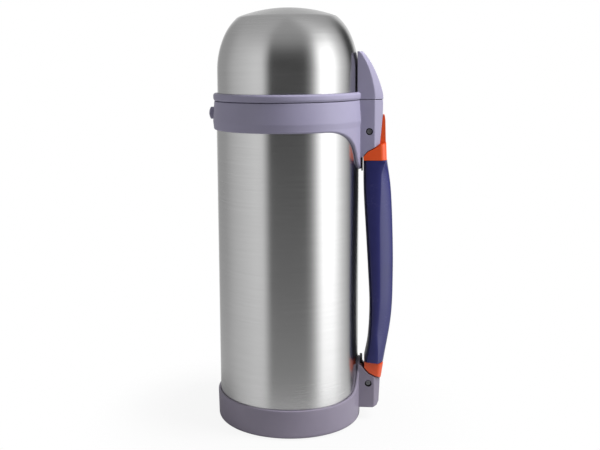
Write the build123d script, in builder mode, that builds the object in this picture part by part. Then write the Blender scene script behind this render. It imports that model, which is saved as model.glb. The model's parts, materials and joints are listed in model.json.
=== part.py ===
from build123d import *

import os

os.makedirs("parts", exist_ok=True)

# Vacuum flask with a screw-on cup and a flexible side handle.
# Origin at the centre of the base, Z up, handle on +X. Millimetres.

# Driving dimensions
body_r = 55.0  # outside of the steel body
flask_h = 323.0  # foot to the top of the cup
base_top_z = 23.2  # rim of the base cup
collar_low_z = 231.2  # lower edge of the collar band
collar_z = 253.0  # top of the collar, where the cup's rim begins
steel = 0.6  # wall of the outer steel shell and of the cup
vessel_wall = 0.5  # wall of the inner bottle
neck_r = 25.0  # bore of the steel neck
lip_z = 268.5  # sealing lip at the top of the neck
gap = 0.3  # between pieces that move past each other
snug = 0.1  # between pieces that are assembled together

base_r = 56.9  # base cup, outside
collar_r = 57.7  # collar band at its widest
shoe_bore_r = body_r + 0.15  # bore of the plastic rings round the steel
cup_r = 54.0  # steel cup, outside
rim_r = 57.3  # bead round the cup's mouth

# Handle: the two ends turn on cross screws, and the strap between them bows outward
pivot_up = (62.8, 229.2)  # x, z of the upper cross screw
pivot_low = (63.2, 30.0)  # x, z of the lower cross screw
screw_r = 1.25
screw_head_r = 1.75
screw_head_t = 1.2
screw_hole_r = 2.6
up_hole_d = 1.9  # depth of the upper screw's hole down to the seat of its head
low_hole_d = 2.6
up_half_w = 12.0  # half width of the upper bracket and of the cup's fin
low_half_w = 10.5  # half width of the lower bracket
up_recess_w = 6.9  # half widths of the recesses that take the handle's ends
low_recess_w = 6.7
end_play = 0.4  # between the handle's ends and the sides of their recesses
bevel_slope = 0.8  # the brackets' bevels: depth along Y over depth along X
bevel_soft_r = 1.5
grip_half_w = 11.5
grip_top_z = 207.2
bend_z = 129.75  # the strap bends here
bend_gap = 0.4
pad_t = 3.2  # thickness of the soft inlay on the finger side
slot_l = 3.4  # vertical play of the lower end on its screw


def half_section(radius_points):
    """Face in the XZ plane from a closed list of (radius, height) corners."""
    with BuildSketch(Plane.XZ) as section:
        with BuildLine():
            Polyline(*radius_points, close=True)
        make_face()
    return section.sketch


def ring_section(inner_r, outer_r, low_z, high_z, edge_r=0.0):
    """Rectangular ring section, with rounded corners when edge_r is given."""
    with BuildSketch(Plane.XZ) as section:
        with Locations(((inner_r + outer_r) / 2, (low_z + high_z) / 2)):
            Rectangle(outer_r - inner_r, high_z - low_z)
        if edge_r:
            fillet(section.vertices(), radius=edge_r)
    return section.sketch


def side_plate(outline, half_width):
    """Plate with the given (x, z) outline, centred on the handle's plane."""
    with BuildPart() as plate:
        with BuildSketch(Plane.XZ):
            with BuildLine():
                Polyline(*outline, close=True)
            make_face()
        extrude(amount=half_width, both=True)
    return plate.part


def tube_wall(inner_r, outer_r, low_z, high_z):
    """Upright tube, or a solid cylinder when inner_r is 0, for trimming to the flask's curve."""
    with BuildPart() as tube:
        with BuildSketch(Plane.XY.offset(low_z)):
            Circle(outer_r)
            if inner_r:
                Circle(inner_r, mode=Mode.SUBTRACT)
        extrude(amount=high_z - low_z)
    return tube.part


def bevelled_plan(face_x, half_width, bevel, soft_r):
    """Plan of a bracket from inside the wall out to face_x, its two outer corners bevelled."""
    inner_x = 42.0
    bevel_x, bevel_y = bevel, bevel * bevel_slope
    with BuildSketch() as plan:
        with BuildLine():
            corner = Polyline(
                (inner_x, 0),
                (inner_x, half_width),
                (face_x - bevel_x, half_width),
                (face_x, half_width - bevel_y),
                (face_x, 0),
            )
            mirror(corner, about=Plane.XZ)
        make_face()
        fillet(plan.vertices().filter_by_position(Axis.X, inner_x + 1, face_x + 1), radius=soft_r)
    return plan.sketch


def bracket_block(outline, half_width, bevel, wall_r):
    """Block with an (x, z) outline and bevelled upright corners, rooted in the wall at wall_r."""
    outer_x = max(x for x, z in outline)
    low_z = min(z for x, z in outline)
    high_z = max(z for x, z in outline)
    with BuildPart() as block:
        with BuildSketch(Plane.XY.offset(low_z)):
            add(bevelled_plan(outer_x, half_width, bevel, bevel_soft_r))
        extrude(amount=high_z - low_z)
        add(side_plate(outline, half_width + 1), mode=Mode.INTERSECT)
        add(tube_wall(0, wall_r, low_z - 1, high_z + 1), mode=Mode.SUBTRACT)
    return block


def rim_waste(tab, far_z):
    """Waste past a ring's edge at tab[0]: a tab on the handle's side, plain round the rest."""
    plain_z = tab[0][1]
    side_y = 65.0
    with BuildPart() as waste:
        with BuildSketch(Plane.YZ):
            with BuildLine():
                edge = Spline(*tab, tangents=((-1, 0), (-1, 0)))
                outside = Polyline(edge @ 0, (side_y, plain_z), (side_y, far_z), (0, far_z))
                mirror(about=Plane.YZ)
            make_face()
        extrude(amount=70)
        with BuildSketch(Plane.YZ):
            with Locations((0, (plain_z + far_z) / 2)):
                Rectangle(2 * side_y, abs(far_z - plain_z))
        extrude(amount=-70)
    return waste.part


def rim_edges(ring, outer_r, low_z, high_z):
    """Edges that run round the outside of a ring's rim between two heights."""
    around = ring.edges().filter_by(Axis.Z, reverse=True)
    return around.filter_by(
        lambda edge: (edge @ 0.5).X ** 2 + (edge @ 0.5).Y ** 2 > (outer_r - 0.3) ** 2
        and low_z < (edge @ 0.5).Z < high_z
    )


def cross_rod(centre, radius, near_y, far_y):
    """Round rod across the handle's plane, from y = near_y to y = far_y."""
    with BuildPart() as rod:
        with BuildSketch(Plane.XZ.offset(-near_y)):
            with Locations(centre):
                Circle(radius)
        extrude(amount=near_y - far_y)
    return rod.part


def thread_rings(root_r, crest_r, first_z, pitch, turns):
    """Section of a thread drawn as separate rings; crest_r below root_r makes an inside thread."""
    depth = crest_r - root_r
    bite = 0.3 if depth > 0 else -0.3
    with BuildSketch(Plane.XZ) as section:
        for turn in range(turns):
            z = first_z + turn * pitch
            with BuildLine():
                Polyline(
                    (root_r - bite, z - 1.1),
                    (root_r, z - 1.1),
                    (crest_r, z - 0.4),
                    (crest_r, z + 0.4),
                    (root_r, z + 1.1),
                    (root_r - bite, z + 1.1),
                    close=True,
                )
            make_face()
    return section.sketch


# ---------------------------------------------------------------- steel body

shell_low_z = 4.2
neck_outer_r = neck_r + 2.5
shoulder = [(neck_outer_r, 257.0), (53.5, 243.0), (body_r, 236.0)]

with BuildPart() as outer_shell:
    with BuildSketch(Plane.XZ):
        with BuildLine():
            FilletPolyline(
                (neck_outer_r, lip_z - vessel_wall),
                *shoulder,
                (body_r, shell_low_z),
                radius=[1.5, 3.0, 6.0],
            )
            offset(amount=steel, side=Side.RIGHT)
        make_face()
    revolve(axis=Axis.Z)

plate_z = 9.5
with BuildPart() as outer_base_plate:
    with BuildSketch(Plane.XZ):
        with BuildLine():
            FilletPolyline(
                (body_r - steel - 0.05, shell_low_z),
                (body_r - steel - 0.05, plate_z),
                (0, plate_z),
                radius=2.5,
            )
            offset(amount=steel, side=Side.LEFT)
        make_face()
    revolve(axis=Axis.Z)

vessel_r = 50.0
vessel_floor_z = 14.0
with BuildPart() as inner_vessel:
    with BuildSketch(Plane.XZ):
        with BuildLine():
            FilletPolyline(
                (neck_outer_r, lip_z),
                (neck_r, lip_z),
                (neck_r, 253.0),
                (vessel_r - vessel_wall, 240.0),
                (vessel_r - vessel_wall, vessel_floor_z + vessel_wall),
                (0, vessel_floor_z + vessel_wall),
                radius=[0.8, 2.0, 6.0, 8.0],
            )
            offset(amount=vessel_wall, side=Side.LEFT)
        make_face()
    revolve(axis=Axis.Z)

with BuildPart() as seal_cap:
    revolve(ring_section(0, 7.0, plate_z - steel - 1.6, plate_z - steel), axis=Axis.Z)
    chamfer(seal_cap.edges().group_by(Axis.Z)[0], length=0.5)

with BuildPart() as getter:
    revolve(ring_section(3.0, 8.0, vessel_floor_z - 2.4, vessel_floor_z), axis=Axis.Z)

# ---------------------------------------------------------------- base cup

base_low_z = 0.6  # the plastic stands on the rubber foot, just off the ground
base_floor_z = 3.8
foot_r = 46.0
low_tab_tip_z = 49.0
low_tab = [  # y, z along the rim, from where it leaves the plain edge to the tab's tip
    (47.0, base_top_z),
    (30.7, 24.2),
    (18.0, 27.8),
    (12.6, 35.0),
    (9.0, 43.5),
    (0, low_tab_tip_z),
]
low_face_x = 72.4
low_cut_end_z = 44.6

low_cut = [(68.2, 35.2), (63.5, 37.5), (59.6, 41.7), (57.2, low_cut_end_z)]
low_foot = [(42, 10.4), (66.4, 10.4), (69.9, 11.8), (71.5, 15.2), (low_face_x, 33.6)]
low_recess = [(58.2, 14), (69.8, 14), (69.8, 60), (58.2, 60)]
low_outline = low_foot + low_cut + [(42, low_cut_end_z)]
low_bracket = bracket_block(low_outline, low_half_w, 4.7, shoe_bore_r + 0.8)

with BuildPart() as base_cup:
    with BuildSketch(Plane.XZ):
        with BuildLine():
            outer = FilletPolyline(
                (foot_r + snug, base_low_z),
                (base_r - 0.4, base_low_z),
                (base_r, base_top_z - 3),
                (base_r, low_tab_tip_z + 1),
                (shoe_bore_r, low_tab_tip_z + 1),
                radius=[3.0, 4.0, 0.5],
            )
            Polyline(
                outer @ 1,
                (shoe_bore_r, base_floor_z),
                (0, base_floor_z),
                (0, base_low_z + 1.0),
                (foot_r + snug, base_low_z + 1.0),
                outer @ 0,
            )
        make_face()
    revolve(axis=Axis.Z)
    add(rim_waste(low_tab, 60), mode=Mode.SUBTRACT)
    fillet(rim_edges(base_cup, base_r, base_top_z - 0.1, 50), radius=0.8)
    add(low_bracket.part)
    add(side_plate(low_recess, low_recess_w), mode=Mode.SUBTRACT)
    add(cross_rod(pivot_low, screw_hole_r, -15, -low_half_w + low_hole_d), mode=Mode.SUBTRACT)
    add(cross_rod(pivot_low, screw_r + 0.1, -15, -5), mode=Mode.SUBTRACT)
    add(cross_rod(pivot_low, screw_r + 0.05, 5, low_half_w - 0.9), mode=Mode.SUBTRACT)

with BuildPart() as foot_pad:
    revolve(ring_section(0, foot_r, 0, base_low_z + 0.95), axis=Axis.Z)
    with BuildSketch(Plane.XY):
        for groove_r in (18, 30, 40):
            Circle(groove_r + 0.6)
            Circle(groove_r - 0.6, mode=Mode.SUBTRACT)
    extrude(amount=0.5, mode=Mode.SUBTRACT)

# ---------------------------------------------------------------- collar band

up_tab_tip_z = 199.8
up_tab_r = 57.2  # outside of the tab and of the collar's lower edge
up_tab = [  # y, z along the rim, from where it leaves the plain edge to the tab's tip
    (47.0, collar_low_z),
    (35.0, 228.2),
    (25.4, 221.2),
    (18.8, 211.6),
    (14.6, 204.4),
    (8.0, 200.7),
    (0, up_tab_tip_z),
]
up_face_x = 73.0
stud_r = 4.7
stud_z = 243.4
stud_shank_r = 2.4
stud_tip_x = 61.2
stud_dome_r = 8.5
stud_seat_x = 57.1  # flat seat for the strap stud, opposite the handle

up_cut = [(up_face_x, 243.0), (70.8, 219.6), (68.4, 218.0), (61.4, 214.2), (57.3, 209.6)]
up_head = [(42, collar_z), (up_face_x - 0.5, collar_z), (up_face_x, collar_z - 0.6)]
up_recess = [(58.2, 195), (80, 195), (80, 244.9), (70.4, 244.9), (70.4, 248), (58.2, 248)]
up_bracket = bracket_block(up_head + up_cut + [(42, 209.6)], up_half_w, 6.3, shoe_bore_r + 1.0)

with BuildPart() as collar_band:
    with BuildSketch(Plane.XZ):
        with BuildLine():
            outside = FilletPolyline(
                (shoe_bore_r, up_tab_tip_z - 1),
                (up_tab_r, up_tab_tip_z - 1),
                (up_tab_r, collar_low_z + 2),
                (collar_r, 237.5),
                (56.6, collar_z),
                (46.2, collar_z),
                radius=[0.5, 4.0, 4.0, 0.6],
            )
            Polyline(
                outside @ 1,
                (46.2, collar_z - 2.4),
                (54.1, collar_z - 2.4),
                (54.1, 243.8),
                (shoe_bore_r, 238.4),
                outside @ 0,
            )
        make_face()
    revolve(axis=Axis.Z)
    add(rim_waste(up_tab, 190), mode=Mode.SUBTRACT)
    fillet(rim_edges(collar_band, up_tab_r, 199, collar_low_z + 0.2), radius=1.4)
    add(up_bracket.part)
    add(side_plate(up_recess, up_recess_w), mode=Mode.SUBTRACT)
    add(cross_rod(pivot_up, screw_hole_r, -15, -up_half_w + up_hole_d), mode=Mode.SUBTRACT)
    add(cross_rod(pivot_up, screw_r + 0.1, -15, -5), mode=Mode.SUBTRACT)
    add(cross_rod(pivot_up, screw_r + 0.05, 5, up_half_w - 0.9), mode=Mode.SUBTRACT)
    for seat_x, hole_r in ((-stud_seat_x, stud_r + 0.1), (-50.0, stud_shank_r + 0.1)):
        with BuildSketch(Plane.YZ.offset(-collar_r - 2)):
            with Locations((0, stud_z)):
                Circle(hole_r)
        extrude(amount=collar_r + 2 + seat_x, mode=Mode.SUBTRACT)

with BuildPart() as strap_stud:
    with BuildSketch(Plane.YZ.offset(-stud_seat_x)):
        with Locations((0, stud_z)):
            Circle(stud_r)
    extrude(amount=stud_seat_x - 70)
    with Locations((stud_dome_r - stud_tip_x, 0, stud_z)):
        Sphere(stud_dome_r, mode=Mode.INTERSECT)
    with BuildSketch(Plane.YZ.offset(-55.6)):
        with Locations((0, stud_z)):
            Circle(stud_shank_r)
    extrude(amount=55.6 - stud_seat_x - 1)

# ---------------------------------------------------------------- neck and shoulder

spigot_r = 49.4
with BuildPart() as shoulder_ring:
    revolve(
        half_section(
            [
                (46.4, collar_z),
                (spigot_r, collar_z),
                (spigot_r, 268.4),
                (spigot_r - 0.6, 269.0),
                (46.4, 269.0),
                (46.4, 266.4),
                (neck_outer_r + snug, 266.4),
                (neck_outer_r + snug, 258.6),
                (30.2, 258.6),
                (30.2, 264.0),
                (46.4, 264.0),
            ]
        ),
        axis=Axis.Z,
    )
    revolve(thread_rings(spigot_r, spigot_r + 0.6, 257.0, 4.2, 3), axis=Axis.Z)

with BuildPart() as neck_gasket:
    revolve(ring_section(neck_outer_r + snug, 29.6, 266.45, 267.9, 0.5), axis=Axis.Z)

# ---------------------------------------------------------------- stopper

seal_z = lip_z + gap
head_z = seal_z + 1.4 + gap  # underside of the stopper's head
head_r = 31.0
plug_r = 23.6
plug_low_z = 238.0

with BuildPart() as stopper_gasket:
    revolve(ring_section(plug_r + 1.4, 29.6, seal_z, seal_z + 1.4, 0.4), axis=Axis.Z)

with BuildPart() as stopper_body:
    revolve(
        half_section(
            [
                (8.5, plug_low_z),
                (plug_r, plug_low_z),
                (plug_r, head_z),
                (head_r, head_z),
                (head_r, 283.0),
                (head_r - 2.1, 283.0),
                (head_r - 2.1, head_z + 3.0),
                (5.5, head_z + 3.0),
                (5.5, 275.5),
                (2.7, 275.5),
                (2.7, 264.0),
                (5.5, 264.0),
                (5.5, head_z),
                (20.6, head_z),
                (20.6, plug_low_z + 2.6),
                (8.5, plug_low_z + 2.6),
            ]
        ),
        axis=Axis.Z,
    )
    revolve(thread_rings(plug_r, plug_r + 0.9, 254.5, 4.0, 3), axis=Axis.Z)
    with BuildSketch(Plane.XY.offset(head_z - 1)):
        with PolarLocations(14.0, 4, start_angle=45):
            Circle(4.2)
    extrude(amount=5, mode=Mode.SUBTRACT)
    with BuildSketch(Plane.XY.offset(head_z)):
        with PolarLocations(head_r + 0.5, 30):
            Circle(1.2)
    extrude(amount=20, mode=Mode.SUBTRACT)
    with BuildSketch(Plane.YZ.offset(-head_r - 2)):
        with Locations((0, 279.5)):
            Rectangle(14, 8)
    extrude(amount=8, mode=Mode.SUBTRACT)

cap_low_z = 283.0 + snug
cap_top_z = 286.4
button_r = 14.0

with BuildPart() as stopper_cap:
    revolve(
        half_section(
            [
                (button_r + 0.4, cap_low_z),
                (26.6, cap_low_z),
                (26.6, 276.0),
                (head_r - 2.1 - snug, 276.0),
                (head_r - 2.1 - snug, cap_low_z),
                (head_r, cap_low_z),
                (head_r, cap_top_z - 1.2),
                (head_r - 1.2, cap_top_z),
                (button_r + 0.9, cap_top_z),
                (button_r + 0.4, cap_top_z - 0.5),
            ]
        ),
        axis=Axis.Z,
    )
    with BuildSketch(Plane.YZ.offset(-head_r - 2)):
        with Locations((0, 279.5)):
            Rectangle(14, 8)
    extrude(amount=10, mode=Mode.SUBTRACT)

button_top_z = 290.8
with BuildPart() as push_button:
    revolve(
        half_section(
            [
                (0, 288.4),
                (2.5, 288.4),
                (2.5, 281.2),
                (4.2, 281.2),
                (4.2, 288.4),
                (12.4, 288.4),
                (12.4, 279.0),
                (button_r + 1.3, 279.0),
                (button_r + 1.3, 280.4),
                (button_r, 280.4),
                (button_r, button_top_z - 1.6),
                (button_r - 1.6, button_top_z),
                (9.0, button_top_z),
                (7.0, button_top_z - 0.8),
                (0, button_top_z - 0.8),
            ]
        ),
        axis=Axis.Z,
    )

spring_wire_r = 0.5
spring_mean_r = 7.2
spring_low_z = head_z + 3.0 + spring_wire_r + 0.1
spring_high_z = 288.4 - spring_wire_r - 0.1
with BuildPart() as button_spring:
    with BuildLine():
        coil = Helix(
            pitch=(spring_high_z - spring_low_z) / 5,
            height=spring_high_z - spring_low_z,
            radius=spring_mean_r,
            center=(0, 0, spring_low_z),
        )
    with BuildSketch(Plane(origin=coil @ 0, z_dir=coil % 0)):
        Circle(spring_wire_r)
    sweep(is_frenet=True)

disc_z = 234.6
with BuildPart() as valve_stem:
    revolve(ring_section(0, 2.4, disc_z, 288.2), axis=Axis.Z)
    chamfer(valve_stem.edges().group_by(Axis.Z)[0], length=0.5)

with BuildPart() as valve_disc:
    revolve(
        half_section(
            [
                (2.45, disc_z + 0.6),
                (11.6, disc_z + 0.6),
                (12.4, disc_z + 1.2),
                (12.4, disc_z + 2.4),
                (5.0, disc_z + 2.4),
                (5.0, disc_z + 6.4),
                (2.45, disc_z + 6.4),
            ]
        ),
        axis=Axis.Z,
    )

with BuildPart() as valve_seal:
    revolve(ring_section(9.2, 11.8, disc_z + 2.45, plug_low_z - 0.25, 0.2), axis=Axis.Z)

# ---------------------------------------------------------------- cup

crown_r = 37.5  # where the cup's rounded side meets its shallow crown
crown_z = 316.3
cup_low_z = 259.1


def cup_space(inset):
    """Section of the space under the cup's outer surface, shrunk by inset."""
    with BuildSketch(Plane.XZ) as section:
        with BuildLine():
            wall = Line((cup_r, 230), (cup_r, 276))
            side = TangentArc(wall @ 1, (48.2, 302.4), tangent=(0, 1))
            corner = TangentArc(side @ 1, (crown_r, crown_z), tangent=side % 1)
            ThreePointArc(corner @ 1, (0, flask_h), (-crown_r, crown_z))
            for edge in (wall, side, corner):
                mirror(edge, about=Plane.YZ)
            Line((-cup_r, 230), (cup_r, 230))
        make_face()
        fillet(section.vertices().group_by(Axis.Y)[-1], radius=7.0)
        if inset:
            offset(amount=-inset)
    return section.sketch


def cup_layer(outer_inset, inner_inset):
    """Half section of one wall of the cup, above its rim."""
    with BuildSketch(Plane.XZ) as layer:
        add(cup_space(outer_inset))
        add(cup_space(inner_inset), mode=Mode.SUBTRACT)
        with Locations((50, cup_low_z + 50)):
            Rectangle(100, 100, mode=Mode.INTERSECT)
    return layer.sketch


with BuildPart() as cup_shell:
    revolve(cup_layer(0, steel), axis=Axis.Z)

liner_t = 1.2
with BuildPart() as cup_liner:
    revolve(cup_layer(steel + snug, steel + snug + liner_t), axis=Axis.Z)

cup_foot_z = collar_z + 0.45
fin_sections = [  # height, outer face, bevel
    (cup_foot_z, 73.1, 6.3),
    (260.0, 72.3, 5.8),
    (268.0, 69.7, 4.8),
    (275.5, 66.6, 3.9),
    (282.0, 63.1, 3.2),
    (286.4, 60.0, 2.7),
    (289.4, 57.2, 2.4),
]

with BuildPart() as cup_fin:
    for z, face_x, bevel in fin_sections:
        with BuildSketch(Plane.XY.offset(z)):
            add(bevelled_plan(face_x, up_half_w, bevel, bevel / 4))
    loft()
    add(tube_wall(0, cup_r + 0.9, cup_low_z, 300), mode=Mode.SUBTRACT)

sleeve_r = 52.0
with BuildPart() as cup_rim:
    with BuildSketch(Plane.XZ):
        with BuildLine():
            bead = FilletPolyline(
                (53.8, cup_foot_z),
                (rim_r - 0.7, cup_foot_z),
                (rim_r, cup_foot_z + 1.6),
                (rim_r, 259.0),
                (sleeve_r, 259.0),
                radius=[0.5, 1.2, 1.8],
            )
            Polyline(
                bead @ 1,
                (sleeve_r, 268.0),
                (50.9, 268.0),
                (50.9, cup_foot_z),
                (51.2, cup_foot_z),
                (51.2, 255.1),
                (53.8, 255.1),
                bead @ 0,
            )
        make_face()
    revolve(axis=Axis.Z)
    revolve(thread_rings(50.9, 50.4, 259.1, 4.2, 2), axis=Axis.Z)
    add(cup_fin.part)
    add(tube_wall(0, 53.0, 259.0, 300) - tube_wall(0, sleeve_r, 259.0, 300), mode=Mode.SUBTRACT)
    add(tube_wall(51.2, 53.8, cup_foot_z - 1, 255.1), mode=Mode.SUBTRACT)
    add(tube_wall(0, 50.4, cup_foot_z - 1, 300), mode=Mode.SUBTRACT)

with BuildPart() as cup_gasket:
    revolve(ring_section(51.5, 53.5, collar_z + 0.4, 254.8, 0.3), axis=Axis.Z)

# ---------------------------------------------------------------- handle

strip_half_w = 5.0
strip_x = (69.6, 70.4)
strip_z = (54.0, 200.0)
tenon_half_w = 6.0
up_tenon = (66.0, 74.0, 188.0, 208.0)  # x and z limits of the tongue inside the grip
low_tenon = (65.6, 73.0, 45.0, 66.0)


def block_plate(limits, half_width, grow=0.0):
    """Upright block from (low x, high x, low z, high z), grown on every side."""
    low_x, high_x, low_z, high_z = limits
    low_x, low_z = low_x - grow, low_z - grow
    high_x, high_z = high_x + grow, high_z + grow
    corners = [(low_x, low_z), (high_x, low_z), (high_x, high_z), (low_x, high_z)]
    return side_plate(corners, half_width + grow)


strip_pocket = block_plate((*strip_x, *strip_z), strip_half_w, 2 * snug)

up_wedge_top = [(73.2, 219.6), (71.6, 219.0), (69.0, 217.5), (61.5, 213.6), (58.4, 210.1)]
with BuildPart() as up_wedge:
    add(side_plate([(58.4, grip_top_z), (76.2, grip_top_z), (75.7, 220.2)] + up_wedge_top, 11.8))
    fillet(up_wedge.edges().filter_by(Axis.Y, reverse=True).group_by(Axis.X)[-1], radius=5.0)

tongue = [(61.0, 212.5), (75.75, 212.5), (75.3, 222), (74.9, 237.5), (74.3, 241.4), (73.2, 241.0)]
tongue_back = [(71.4, 235.0), (66.0, 231.8), (62.8, 233.4), (58.6, 229.2), (60.4, 222.0)]
tongue_w = up_recess_w - end_play
with BuildPart() as handle_end_upper:
    add(up_wedge.part)
    add(side_plate(tongue + tongue_back, tongue_w))
    add(cross_rod(pivot_up, 4.2, -tongue_w, tongue_w))
    add(block_plate(up_tenon, tenon_half_w))
    add(cross_rod(pivot_up, screw_r + 0.08, -9, 9), mode=Mode.SUBTRACT)
    add(strip_pocket, mode=Mode.SUBTRACT)

low_wedge_under = [(60.1, 43.0), (60.9, 41.8), (64.0, 38.6), (68.6, 36.2), (72.6, 34.7)]
with BuildPart() as low_wedge:
    outline = low_wedge_under + [(73.2, 35.0), (74.8, 45.73), (60.1, 47.28)]
    add(side_plate(outline, 10.3))
    fillet(low_wedge.edges().filter_by(Axis.Y, reverse=True).group_by(Axis.X)[-1], radius=4.0)

leg_x = (59.8, 66.6)
leg_w = low_recess_w - end_play
with BuildPart() as handle_end_lower:
    add(low_wedge.part)
    add(side_plate([(leg_x[0], 26.4), (leg_x[1], 26.4), (69.0, 40.0), (60.6, 45.0)], leg_w))
    add(cross_rod((63.2, 26.4), 3.4, -leg_w, leg_w))
    add(block_plate(low_tenon, tenon_half_w))
    slot_half = screw_r + 0.6
    slot_x = (pivot_low[0] - slot_half, pivot_low[0] + slot_half)
    add(block_plate((*slot_x, pivot_low[1] - slot_l, pivot_low[1]), 9), mode=Mode.SUBTRACT)
    add(cross_rod(pivot_low, slot_half, -9, 9), mode=Mode.SUBTRACT)
    bottom_of_slot = (pivot_low[0], pivot_low[1] - slot_l)
    add(cross_rod(bottom_of_slot, slot_half, -9, 9), mode=Mode.SUBTRACT)
    add(strip_pocket, mode=Mode.SUBTRACT)

grip_back = [(76.4, grip_top_z), (79.2, 185), (81.3, 150), (82.1, 118), (80.9, 84), (74.9, 45.8)]
grip_front = [(60.1, 47.4), (63.2, 64), (64.4, 90), (63.4, 115), (61.5, 148), (59.4, 182)]
grip_front.append((58.6, grip_top_z))

with BuildPart() as grip_form:
    with BuildSketch(Plane.XZ):
        with BuildLine():
            back = Spline(*grip_back)
            front = Spline(*grip_front)
            Line(back @ 1, front @ 0)
            Line(front @ 1, back @ 0)
        make_face()
    extrude(amount=grip_half_w, both=True)
    long_edges = grip_form.edges().filter_by(lambda edge: edge.length > 120).sort_by(Axis.X)
    fillet(long_edges[-2:], radius=6.5)
    long_edges = grip_form.edges().filter_by(lambda edge: edge.length > 120).sort_by(Axis.X)
    fillet(long_edges[:2], radius=2.5)

with BuildPart() as back_side:  # all that lies behind the inlay
    with BuildSketch(Plane.XZ):
        with BuildLine():
            parting = Spline(*[(x + pad_t, z) for x, z in grip_front])
            low_x, high_x = (parting @ 0).X, (parting @ 1).X
            Polyline(parting @ 1, (high_x, 220), (90, 220), (90, 30), (low_x, 30), parting @ 0)
        make_face()
    extrude(amount=20, both=True)

halves = {
    "upper": (bend_z + bend_gap / 2, 220.0, up_tenon),
    "lower": (30.0, bend_z - bend_gap / 2, low_tenon),
}
grip_parts = {}
for half, (low_z, high_z, tenon) in halves.items():
    with BuildPart() as shell_half:
        add(grip_form.part)
        add(block_plate((50, 90, low_z, high_z), 20), mode=Mode.INTERSECT)
        add(back_side.part, mode=Mode.INTERSECT)
        add(block_plate(tenon, tenon_half_w, snug), mode=Mode.SUBTRACT)
        add(strip_pocket, mode=Mode.SUBTRACT)
    with BuildPart() as inlay_half:
        add(grip_form.part)
        add(block_plate((50, 90, low_z, high_z), 20), mode=Mode.INTERSECT)
        add(back_side.part, mode=Mode.SUBTRACT)
        add(block_plate(tenon, tenon_half_w, snug), mode=Mode.SUBTRACT)
    grip_parts[f"grip_{half}"] = shell_half
    grip_parts[f"grip_inlay_{half}"] = inlay_half

with BuildPart() as handle_strip:
    add(block_plate((*strip_x, *strip_z), strip_half_w))


def bumper(low_z, high_z, wall_r, face_x, half_width):
    """Rubber pad that backs the handle's end, curved to the tab behind it."""
    with BuildPart() as pad:
        add(block_plate((50, face_x, low_z, high_z), half_width))
        add(tube_wall(0, wall_r, low_z - 1, high_z + 1), mode=Mode.SUBTRACT)
        fillet(pad.edges().filter_by(Axis.Y).sort_by(Axis.X)[-2:], radius=0.5)
    return pad


upper_bumper = bumper(198.8, 209.3, up_tab_r + 0.05, 58.05, 6.5)
lower_bumper = bumper(low_cut_end_z + 0.3, low_tab_tip_z + 0.6, base_r + 0.05, 58.6, 5.5)


def pivot_screw(centre, half_width, hole_depth):
    """Cross-head screw that lies across a bracket, its head sunk on the -Y side."""
    seat_y = -half_width + hole_depth
    head_y = seat_y - screw_head_t
    with BuildPart() as screw:
        add(cross_rod(centre, screw_head_r, head_y, seat_y))
        add(cross_rod(centre, screw_r, seat_y, half_width - 1.0))
        with BuildSketch(Plane.XZ.offset(-head_y)):
            with Locations(centre):
                Rectangle(2.6, 0.6)
                Rectangle(0.6, 2.6)
        extrude(amount=-0.8, mode=Mode.SUBTRACT)
    return screw


upper_pivot_screw = pivot_screw(pivot_up, up_half_w, up_hole_d)
lower_pivot_screw = pivot_screw(pivot_low, low_half_w, low_hole_d)

# ---------------------------------------------------------------- output

pieces = {
    "base_cup": base_cup,
    "foot_pad": foot_pad,
    "outer_shell": outer_shell,
    "outer_base_plate": outer_base_plate,
    "seal_cap": seal_cap,
    "getter": getter,
    "inner_vessel": inner_vessel,
    "collar_band": collar_band,
    "strap_stud": strap_stud,
    "shoulder_ring": shoulder_ring,
    "neck_gasket": neck_gasket,
    "stopper_gasket": stopper_gasket,
    "stopper_body": stopper_body,
    "stopper_cap": stopper_cap,
    "push_button": push_button,
    "button_spring": button_spring,
    "valve_stem": valve_stem,
    "valve_disc": valve_disc,
    "valve_seal": valve_seal,
    "cup_shell": cup_shell,
    "cup_liner": cup_liner,
    "cup_rim": cup_rim,
    "cup_gasket": cup_gasket,
    "handle_end_upper": handle_end_upper,
    "handle_end_lower": handle_end_lower,
    "handle_strip": handle_strip,
    "upper_bumper": upper_bumper,
    "lower_bumper": lower_bumper,
    "upper_pivot_screw": upper_pivot_screw,
    "lower_pivot_screw": lower_pivot_screw,
    **grip_parts,
}
for name, piece in pieces.items():
    piece.part.label = name
    export_step(piece.part, f"parts/{name}.step")
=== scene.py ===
import json
import math

import bmesh
import bpy
from mathutils import Matrix, Vector


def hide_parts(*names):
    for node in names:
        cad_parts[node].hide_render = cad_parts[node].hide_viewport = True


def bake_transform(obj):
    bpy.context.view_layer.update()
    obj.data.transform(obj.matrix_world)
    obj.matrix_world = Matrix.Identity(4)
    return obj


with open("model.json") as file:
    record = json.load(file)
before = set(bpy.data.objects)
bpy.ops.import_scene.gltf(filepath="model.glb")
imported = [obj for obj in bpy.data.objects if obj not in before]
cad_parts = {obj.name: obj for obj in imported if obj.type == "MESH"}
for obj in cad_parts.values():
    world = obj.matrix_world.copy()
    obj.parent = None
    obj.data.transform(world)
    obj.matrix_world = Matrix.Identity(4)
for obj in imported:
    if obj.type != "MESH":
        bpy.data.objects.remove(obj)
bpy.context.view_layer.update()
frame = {"nodes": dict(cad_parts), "record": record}

MM = 0.001

# Camera: a little above the collar, tilted down, a few degrees round to the handle's side
CAMERA_AT = (0.0502, -0.7175, 0.2868)
HEADING = math.radians(-6.38)  # from +Y, positive towards +X
TILT = math.radians(8.53)
ROLL = math.radians(-0.69)  # about the line of sight
LENS = 55.57
SHIFT = (0.0833, -0.05)

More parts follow.
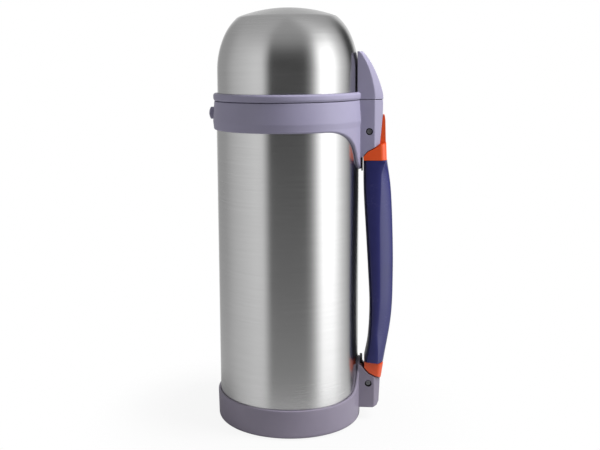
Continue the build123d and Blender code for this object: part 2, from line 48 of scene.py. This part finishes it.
# Studio. Compass directions are in degrees from -Y towards +X, elevations in degrees.
FLASK_MIDDLE = (0.0, 0.0, 0.16)
FLOOR_R = 0.60
FLOOR_TONE = 0.55
FLOOR_FADE = (0.08, 0.17)  # the floor fades into the white surroundings between these radii
FLOOR_GLOW = 0.90  # how far the camera sees the floor as white whatever its light
BACKGROUND = 1.0  # what the camera sees behind the flask
CEILING = (0.42, 0.14)  # brightness of its own, and the share it adds of the wall below it
CEILING_FROM = (18.0, 46.0)  # elevations over which the walls give way to the ceiling
TABLE = (0.44, 0.31)  # the same for the table top and the wall above it
TABLE_FROM = (-10.5, -25.0)  # elevations over which the walls give way to the table top
WALLS = [  # compass direction, brightness
    (-180, 0.80), (-165, 0.80), (-150, 0.38), (-115, 0.42), (-92, 0.62), (-66, 0.78), (-50, 0.88),
    (-37, 0.88), (-24, 0.05), (31, 0.05), (40, 0.20), (47, 0.60), (55, 1.40), (61, 2.05), (82, 2.05),
    (91, 1.45), (101, 0.95), (112, 0.65), (121, 0.32), (129, 0.05), (146, 0.05), (160, 0.80), (180, 0.80),
]


# ---------------------------------------------------------------- node helpers

class Nodes:
    """Builds one node tree: add() makes a node, sets its values and links its inputs."""

    def __init__(self, tree):
        self.tree = tree
        tree.nodes.clear()

    def add(self, kind, inputs=None, **settings):
        node = self.tree.nodes.new(kind)
        for name, value in settings.items():
            setattr(node, name, value)
        for key, value in (inputs or {}).items():
            if isinstance(value, bpy.types.NodeSocket):
                self.tree.links.new(value, node.inputs[key])
            else:
                node.inputs[key].default_value = value
        return node

    def math(self, operation, *values):
        return self.add("ShaderNodeMath", dict(enumerate(values)), operation=operation).outputs[0]

    def remap(self, value, low, high, to_low=0.0, to_high=1.0):
        inputs = {"Value": value, "From Min": low, "From Max": high, "To Min": to_low, "To Max": to_high}
        return self.add("ShaderNodeMapRange", inputs, interpolation_type="SMOOTHSTEP").outputs[0]

    def mix(self, factor, first, second, blend="MIX"):
        inputs = {0: factor, 6: first, 7: second}
        return self.add("ShaderNodeMix", inputs, data_type="RGBA", blend_type=blend).outputs[2]

    def length(self, vector):
        return self.add("ShaderNodeVectorMath", {0: vector}, operation="LENGTH").outputs["Value"]

    def noise(self, vector, scale, detail, roughness):
        inputs = {"Vector": vector, "Scale": scale, "Detail": detail, "Roughness": roughness}
        return self.add("ShaderNodeTexNoise", inputs).outputs[0]

    def combine(self, x, y, z):
        return self.add("ShaderNodeCombineXYZ", {0: x, 1: y, 2: z}).outputs[0]

    def place(self):
        """Position on the flask, in metres, and its three coordinates."""
        at = self.add("ShaderNodeTexCoord").outputs["Object"]
        return at, *self.add("ShaderNodeSeparateXYZ", {0: at}).outputs

    def ramp(self, value, stops):
        """Colour ramp through (position, colour) stops; a single number is a grey."""
        node = self.add("ShaderNodeValToRGB", {"Fac": value})
        elements = node.color_ramp.elements
        while len(elements) < len(stops):
            elements.new(0.5)
        for element, (position, colour) in zip(elements, stops):
            element.position = position
            element.color = grey(colour) if isinstance(colour, float) else (*colour, 1)
        return node.outputs["Color"]


def grey(level):
    return (level, level, level, 1)


# ---------------------------------------------------------------- studio

def add_camera():
    data = bpy.data.cameras.new("camera")
    data.lens = LENS
    data.shift_x, data.shift_y = SHIFT
    camera = bpy.data.objects.new("camera", data)
    level = Matrix.Rotation(-HEADING, 4, "Z") @ Matrix.Rotation(math.pi / 2 - TILT, 4, "X")
    camera.matrix_world = Matrix.Translation(CAMERA_AT) @ level @ Matrix.Rotation(ROLL, 4, "Z")
    bpy.context.scene.collection.objects.link(camera)
    bpy.context.scene.camera = camera


def add_floor():
    """Pale round floor whose rim fades away into the white surroundings."""
    mesh = bpy.data.meshes.new("floor")
    form = bmesh.new()
    bmesh.ops.create_circle(form, cap_ends=True, segments=96, radius=FLOOR_R)
    form.to_mesh(mesh)
    form.free()
    floor = bpy.data.objects.new("floor", mesh)
    bpy.context.scene.collection.objects.link(floor)
    material = bpy.data.materials.new("floor")
    material.use_nodes = True
    nodes = Nodes(material.node_tree)
    at, *_ = nodes.place()
    seen = nodes.add("ShaderNodeLightPath").outputs["Is Camera Ray"]
    matt = nodes.add("ShaderNodeBsdfDiffuse", {"Color": grey(FLOOR_TONE)}).outputs[0]
    glow = nodes.add("ShaderNodeEmission", {"Color": grey(BACKGROUND)}).outputs[0]
    lift = nodes.math("MULTIPLY", seen, FLOOR_GLOW)
    surface = nodes.add("ShaderNodeMixShader", {0: lift, 1: matt, 2: glow}).outputs[0]
    clear = nodes.add("ShaderNodeBsdfTransparent").outputs[0]
    fade = nodes.remap(nodes.length(at), *FLOOR_FADE)
    faded = nodes.add("ShaderNodeMixShader", {0: fade, 1: surface, 2: clear}).outputs[0]
    nodes.add("ShaderNodeOutputMaterial", {"Surface": faded})
    mesh.materials.append(material)


def add_soft_box(name, compass, elevation, distance, width, height, power):
    """Soft box aimed at the flask. It lights the plastics and stays out of the steel's reflections."""
    data = bpy.data.lights.new(name, "AREA")
    data.shape = "RECTANGLE"
    data.size, data.size_y = width, height
    data.energy = power
    light = bpy.data.objects.new(name, data)
    turn = Matrix.Rotation(math.radians(compass), 4, "Z")
    tip = Matrix.Rotation(math.radians(90 - elevation), 4, "X")
    light.matrix_world = Matrix.Translation(FLASK_MIDDLE) @ turn @ tip @ Matrix.Translation((0, 0, distance))
    light.visible_camera = False
    light.visible_glossy = False
    bpy.context.scene.collection.objects.link(light)


def add_surroundings():
    """White to the camera; to the flask, a room whose walls change brightness round the compass."""
    world = bpy.data.worlds.new("studio")
    bpy.context.scene.world = world
    world.use_nodes = True
    nodes = Nodes(world.node_tree)
    direction = nodes.add("ShaderNodeTexCoord").outputs["Generated"]
    x, y, z = nodes.add("ShaderNodeSeparateXYZ", {0: direction}).outputs
    azimuth = nodes.math("ARCTAN2", x, nodes.math("MULTIPLY", y, -1.0))
    round_turn = nodes.math("MULTIPLY_ADD", azimuth, 0.5 / math.pi, 0.5)
    walls = nodes.ramp(round_turn, [(0.5 + degrees / 360, level) for degrees, level in WALLS])
    elevation = nodes.math("ARCSINE", z)
    to_ceiling = nodes.remap(elevation, *(math.radians(angle) for angle in CEILING_FROM))
    from_table = nodes.remap(elevation, *(math.radians(angle) for angle in reversed(TABLE_FROM)))
    ceiling, table = (nodes.mix(share, grey(own / (1 - share)), walls) for own, share in (CEILING, TABLE))
    room = nodes.mix(from_table, table, nodes.mix(to_ceiling, walls, ceiling))
    seen = nodes.add("ShaderNodeLightPath").outputs["Is Camera Ray"]
    colour = nodes.mix(seen, room, grey(BACKGROUND))
    shader = nodes.add("ShaderNodeBackground", {"Color": colour, "Strength": 1.0}).outputs[0]
    nodes.add("ShaderNodeOutputWorld", {"Surface": shader})


# ---------------------------------------------------------------- materials

SCREW_HOLES = [(62.8, 229.2), (63.2, 30.0)]  # x, z, in millimetres
SCREW_HOLE_R = 2.62
# near-black painted shade inside the screw holes
HOLE_SHADE = 0.01
FOOT_SHADE_FADE = (0.05, 0.09)  # heights between which the painted shade at the foot fades out
RELIEF_DEPTH = 0.02 * MM  # of brush marks and moulded grain
BRUSH_HAIR = (40.0, 5200.0)  # marks per metre round the wall, and across them
BRUSH_BANDS = (16.0, 900.0)
SMUDGES = 11.0
FLOW_MARKS = 38.0


def new_material(slot):
    material = bpy.data.materials.new(slot)
    material.use_nodes = True
    return material, Nodes(material.node_tree)


def finish_material(nodes, colour, roughness, normal, **constants):
    """Principled shader: varying colour, roughness and normal are linked, constants are set on it."""
    inputs = {"Base Color": colour, "Roughness": roughness, "Normal": normal}
    inputs.update(constants)
    shader = nodes.add("ShaderNodeBsdfPrincipled", inputs)
    nodes.add("ShaderNodeOutputMaterial", {"Surface": shader.outputs[0]})


def steel_material(slot, tone, roughness, relief=0.06):
    """Steel brushed round the axis: hair lines across the height, faint broader bands, soft smudges."""
    material, nodes = new_material(slot)
    at, x, y, z = nodes.place()
    radius = nodes.length(nodes.combine(x, y, 0.0))
    along = nodes.math("SUBTRACT", z, radius)  # runs down the wall and out across the crown

    def streaks(lengthways, across):
        stretched = [nodes.math("MULTIPLY", x, lengthways), nodes.math("MULTIPLY", y, lengthways)]
        return nodes.noise(nodes.combine(*stretched, nodes.math("MULTIPLY", along, across)), 1.0, 3.0, 0.6)

    hair = streaks(*BRUSH_HAIR)
    bands = streaks(*BRUSH_BANDS)
    smudge = nodes.noise(at, SMUDGES, 3.0, 0.5)
    mark = nodes.math("MULTIPLY_ADD", bands, 0.45, nodes.math("MULTIPLY", hair, 0.55))
    colour = nodes.ramp(mark, [(0.30, tone - 0.035), (0.70, tone + 0.025)])
    spread = nodes.math("MULTIPLY_ADD", smudge, 0.5, nodes.math("MULTIPLY", mark, 0.5))
    rough = nodes.remap(spread, 0.3, 0.7, roughness - 0.025, roughness + 0.03)
    bump = nodes.add("ShaderNodeBump", {"Strength": relief, "Distance": RELIEF_DEPTH, "Height": hair})
    tangent = nodes.add("ShaderNodeTangent", direction_type="RADIAL", axis="Z").outputs[0]
    finish_material(nodes, colour, rough, bump.outputs[0], Metallic=1.0, Anisotropic=0.75,
                    **{"Anisotropic Rotation": 0.25, "Tangent": tangent})
    return material


def in_screw_holes(nodes, x, y, z):
    """1 inside the two holes for the handle's screws, which open on the -Y side, and 0 elsewhere."""
    inside = []
    for hole_x, hole_z in SCREW_HOLES:
        across = nodes.math("SUBTRACT", x, hole_x * MM)
        up = nodes.math("SUBTRACT", z, hole_z * MM)
        reach = nodes.length(nodes.combine(across, up, 0.0))
        inside.append(nodes.math("LESS_THAN", reach, SCREW_HOLE_R * MM))
    return nodes.math("MULTIPLY", nodes.math("MAXIMUM", *inside), nodes.math("LESS_THAN", y, 0.0))


def plastic_material(slot, dark, light, roughness, grain_mm=0.35, relief=0.25, edge_mm=0.4, foot=None,
                     **constants):
    """Moulded plastic: spark-eroded grain, faint flow marks, uneven gloss, softened edges.

    With foot given, the flask's foot is painted darker and warmer by that colour as painted shade, and the
    screw holes are painted near black as painted shade.
    """
    material, nodes = new_material(slot)
    at, x, y, z = nodes.place()
    grain = nodes.noise(at, 1 / (grain_mm * MM), 3.0, 0.6)
    cloud = nodes.noise(at, FLOW_MARKS, 4.0, 0.55)
    tone = nodes.math("MULTIPLY_ADD", cloud, 0.7, nodes.math("MULTIPLY", grain, 0.3))
    colour = nodes.ramp(tone, [(0.32, dark), (0.68, light)])
    if foot:
        # painted shade: darker and warmer towards the foot, fading out with height
        foot_shade = nodes.mix(nodes.remap(z, *FOOT_SHADE_FADE), (*foot, 1), grey(1.0))
        colour = nodes.mix(1.0, colour, foot_shade, blend="MULTIPLY")
        # painted shade: the screw holes are painted near black
        colour = nodes.mix(in_screw_holes(nodes, x, y, z), colour, grey(HOLE_SHADE))
    rough = nodes.remap(tone, 0.3, 0.7, roughness - 0.04, roughness + 0.05)
    soft = nodes.add("ShaderNodeBevel", {"Radius": edge_mm * MM}, samples=4).outputs[0]
    surface = {"Strength": relief, "Distance": RELIEF_DEPTH, "Height": grain, "Normal": soft}
    bump = nodes.add("ShaderNodeBump", surface).outputs[0]
    finish_material(nodes, colour, rough, bump, **constants)
    return material


STEELS = {  # tone, roughness
    "brushed_steel": (0.62, 0.25),
    "plain_steel": (0.60, 0.30),
    "spring_steel": (0.50, 0.26),
}
PLASTICS = {  # dark and light colour, roughness, what differs from the usual
    "screw_steel": ((0.28, 0.28, 0.30), (0.36, 0.36, 0.38), 0.35, {"edge_mm": 0.15, "Metallic": 0.7}),
    "purple_plastic": ((0.250, 0.234, 0.336), (0.278, 0.261, 0.370), 0.40,
                       # foot: colour of the painted shade at the flask's foot
                       {"edge_mm": 0.8, "foot": (0.84, 0.80, 0.74), "Specular IOR Level": 0.45}),
    "grey_plastic": ((0.10, 0.10, 0.11), (0.13, 0.13, 0.14), 0.45, {}),
    "orange_plastic": ((0.64, 0.067, 0.010), (0.70, 0.080, 0.013), 0.34,
                       # the faint orange glow is painted light; the part is no lamp
                       {"Specular IOR Level": 0.8, "Emission Color": (1.0, 0.11, 0.012, 1),
                        "Emission Strength": 0.03}),
    "navy_grip": ((0.022, 0.023, 0.110), (0.028, 0.029, 0.135), 0.24, {"grain_mm": 0.6, "relief": 0.10}),
    "dark_inlay": ((0.015, 0.015, 0.050), (0.022, 0.022, 0.065), 0.50, {}),
    "black_rubber": ((0.010, 0.010, 0.010), (0.020, 0.020, 0.020), 0.62, {}),
    "silicone": ((0.66, 0.66, 0.63), (0.74, 0.74, 0.71), 0.45, {}),
}


def make_materials():
    materials = {slot: steel_material(slot, tone, roughness) for slot, (tone, roughness) in STEELS.items()}
    for slot, (dark, light, roughness, settings) in PLASTICS.items():
        materials[slot] = plastic_material(slot, dark, light, roughness, **settings)
    return materials


def paint_nodes(materials):
    slots = {part["node"]: part["material_slot"] for part in frame["record"]["subparts"]}
    for name, node in frame["nodes"].items():
        node.data.materials.clear()
        node.data.materials.append(materials[slots[name]])
        node.data.shade_smooth()


# ---------------------------------------------------------------- handle

# The grip bends with the handle, so it is made in one piece. Millimetres.
GRIP_TOP_Z = 206.95
GRIP_LOW_Z = 46.8  # at mid-depth; the seam with the lower end slants
GRIP_SLANT = -0.108
GRIP_HALF_W = 11.5
GRIP_BACK = [(74.9, 45.8), (80.9, 84), (82.0, 118), (81.5, 150), (79.7, 185), (76.6, 207.2)]  # x, z
GRIP_FRONT = [(60.1, 47.4), (63.0, 64), (64.1, 90), (63.0, 115), (61.0, 148), (59.0, 182), (58.6, 207.2)]
# How far back the flat sides reach before the crease, as a share of the depth, with z
GRIP_CREASE = [(0.70, 48), (0.55, 58), (0.43, 65), (0.36, 73), (0.40, 100), (0.46, 148), (0.50, 163),
               (0.57, 179), (0.63, 190), (0.69, 197.7), (0.87, 204.5), (0.93, 207)]
INLAY_T = 1.0  # soft inlay on the finger side
GROOVE = 0.35  # how far the flat sides start behind the inlay
BED_DEPTH = 0.4  # how far the grip stands up into the inlay
GRIP_SWELL = 0.25  # of the flat sides
EDGE_R = 1.0
BACK_FULLNESS = 0.52  # how far out the curve of the back is pulled, as a share of the half width
LEAF_X = (69.6, 70.4)  # spring leaf inside the grip
LEAF_HALF_W = 5.0
LEAF_Z = (54.0, 200.0)
SHARP_FROM = math.radians(38)  # edges that turn more than this stay sharp


def smooth_through(points, at):
    """Value at height `at` of a smooth line through (value, height) points in rising order."""
    last = len(points) - 1

    def slope(i):
        (value_a, low), (value_b, high) = points[max(i - 1, 0)], points[min(i + 1, last)]
        return (value_b - value_a) / (high - low)

    i = max(k for k in range(last) if points[k][1] <= max(at, points[0][1]))
    (value_a, low), (value_b, high) = points[i], points[i + 1]
    span = high - low
    t = min(max((at - low) / span, 0.0), 1.0)
    return (value_a * (1 + 2 * t) * (1 - t) ** 2 + value_b * t * t * (3 - 2 * t)
            + span * (slope(i) * t * (1 - t) ** 2 - slope(i + 1) * t * t * (1 - t)))


def grip_section(z):
    """Half outline of the grip at a height, as (x, y) from the finger side to the back."""
    front = smooth_through(GRIP_FRONT, z) + INLAY_T
    back = smooth_through(GRIP_BACK, z)
    crease = front + (back - front) * smooth_through(GRIP_CREASE, z)
    width = GRIP_HALF_W
    face = front + GROOVE
    bed = front - BED_DEPTH
    outline = [(bed, 0), (bed, 6), (bed, width - 2.0), (face, width - 1.7)]
    for a in (0.0, 0.5, 1.05, math.pi / 2):
        outline.append((face + EDGE_R - EDGE_R * math.cos(a), width - EDGE_R + EDGE_R * math.sin(a)))
    for share in (0.35, 0.65):
        outline.append((face + (crease - face) * share, width + GRIP_SWELL * math.sin(math.pi * share)))
    outline.append((crease - 0.3, width))
    bulge = Vector((back, width * BACK_FULLNESS))
    start, end = Vector((crease, width - 0.05)), Vector((back, 0))
    for step in (0.03, 0.12, 0.25, 0.4, 0.55, 0.7, 0.85, 1.0):
        point = start * (1 - step) ** 2 + bulge * 2 * step * (1 - step) + end * step * step
        outline.append(tuple(point))
    return outline


def inlay_section(z):
    """Half outline of the soft strip that the fingers rest on."""
    front = smooth_through(GRIP_FRONT, z)
    width = GRIP_HALF_W - 0.25
    outline = [(front, 0), (front, 6), (front, width - 1.0)]
    outline += [(front + 0.9 - 0.9 * math.cos(a), width - 0.9 + 0.9 * math.sin(a)) for a in (0.4, 0.8, 1.2)]
    outline += [(front + 0.95, width), (front + INLAY_T, width), (front + INLAY_T, 6), (front + INLAY_T, 0)]
    return outline


def leaf_section(z):
    """Half outline of the spring leaf, the same at every height."""
    front, back = LEAF_X
    return [(front, 0), (front, LEAF_HALF_W), (back, LEAF_HALF_W), (back, 0)]


def shrink(outline, amount):
    """The outline pulled in by about this much on every side."""
    centre = sum(x for x, y in outline) / len(outline)
    reach = max(abs(x - centre) for x, y in outline)
    wide = max(y for x, y in outline)
    return [(centre + (x - centre) * (1 - amount / reach), y * (1 - amount / wide)) for x, y in outline]


def closed_loft(name, rings):
    """Closed mesh through rings of points, in metres."""
    mesh = bpy.data.meshes.new(name)
    form = bmesh.new()
    loops = [[form.verts.new(point) for point in ring] for ring in rings]
    for loop, above in zip(loops, loops[1:]):
        for i in range(len(loop)):
            form.faces.new((loop[i], loop[i - 1], above[i - 1], above[i]))
    form.faces.new(loops[0])
    form.faces.new(list(reversed(loops[-1])))
    bmesh.ops.recalc_face_normals(form, faces=form.faces)
    form.to_mesh(mesh)
    form.free()
    mesh.shade_smooth()
    mesh.set_sharp_from_angle(angle=SHARP_FROM)
    piece = bpy.data.objects.new(name, mesh)
    bpy.context.scene.collection.objects.link(piece)
    return piece


def handle_loft(name, section, low_z, high_z, slant, edge=0.4, stations=44):
    """Piece of the handle through mirrored half sections, with softened ends; slant tilts its low end."""
    run = high_z - low_z - 2 * edge
    heights = [low_z, *(low_z + edge + run * i / stations for i in range(stations + 1)), high_z]
    rings = []
    for z in heights:
        half = section(z)
        if z in (low_z, high_z):
            half = shrink(half, edge)
        outline = half + [(x, -y) for x, y in reversed(half[1:-1])]
        tilt = slant * (high_z - z) / (high_z - low_z)
        middle = sum(x for x, y in half) / len(half)
        rings.append([(x * MM, y * MM, (z + tilt * (x - middle)) * MM) for x, y in outline])
    return closed_loft(name, rings)


def add_handle(materials):
    pieces = [
        (handle_loft("grip", grip_section, GRIP_LOW_Z, GRIP_TOP_Z, GRIP_SLANT), "navy_grip",
         ("grip_upper", "grip_lower")),
        (handle_loft("grip_inlay", inlay_section, GRIP_LOW_Z + 0.8, GRIP_TOP_Z, GRIP_SLANT), "dark_inlay",
         ("grip_inlay_upper", "grip_inlay_lower")),
        (handle_loft("spring_leaf", leaf_section, *LEAF_Z, slant=0.0, edge=0.1), "spring_steel",
         ("handle_strip",)),
    ]
    for piece, slot, nodes in pieces:
        piece.data.materials.append(materials[slot])
        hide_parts(*nodes)
        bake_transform(piece)


# ---------------------------------------------------------------- button spring

WIRE_R = 0.5 * MM
SPRING_TURNS = 5
STEPS_A_TURN = 32
WIRE_SIDES = 10


def add_button_spring(materials):
    """Coil in the place of the CAD one, between its lowest and highest points."""
    node = frame["nodes"]["button_spring"]
    corners = [node.matrix_world @ Vector(corner) for corner in node.bound_box]
    low_z, high_z = min(c.z for c in corners), max(c.z for c in corners)
    mean_r = max(c.x for c in corners) - WIRE_R
    steps = STEPS_A_TURN * SPRING_TURNS
    rings = []
    for i in range(steps + 1):
        angle = 2 * math.pi * SPRING_TURNS * i / steps
        centre_z = low_z + WIRE_R + (high_z - low_z - 2 * WIRE_R) * i / steps
        ring = []
        for k in range(WIRE_SIDES):
            turn = 2 * math.pi * k / WIRE_SIDES
            radius, z = mean_r + WIRE_R * math.cos(turn), centre_z + WIRE_R * math.sin(turn)
            ring.append((radius * math.cos(angle), radius * math.sin(angle), z))
        rings.append(ring)
    piece = closed_loft("spring_coil", rings)
    piece.data.materials.append(materials["spring_steel"])
    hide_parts("button_spring")
    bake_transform(piece)


# ---------------------------------------------------------------- scene

add_camera()
add_floor()
add_surroundings()
add_soft_box("top", compass=0, elevation=90, distance=1.44, width=1.1, height=1.1, power=0.8)
add_soft_box("key", compass=77, elevation=50, distance=0.9, width=0.35, height=0.6, power=11.5)
slot_materials = make_materials()
paint_nodes(slot_materials)
add_handle(slot_materials)
add_button_spring(slot_materials)
bpy.context.scene.view_settings.view_transform = "Standard"
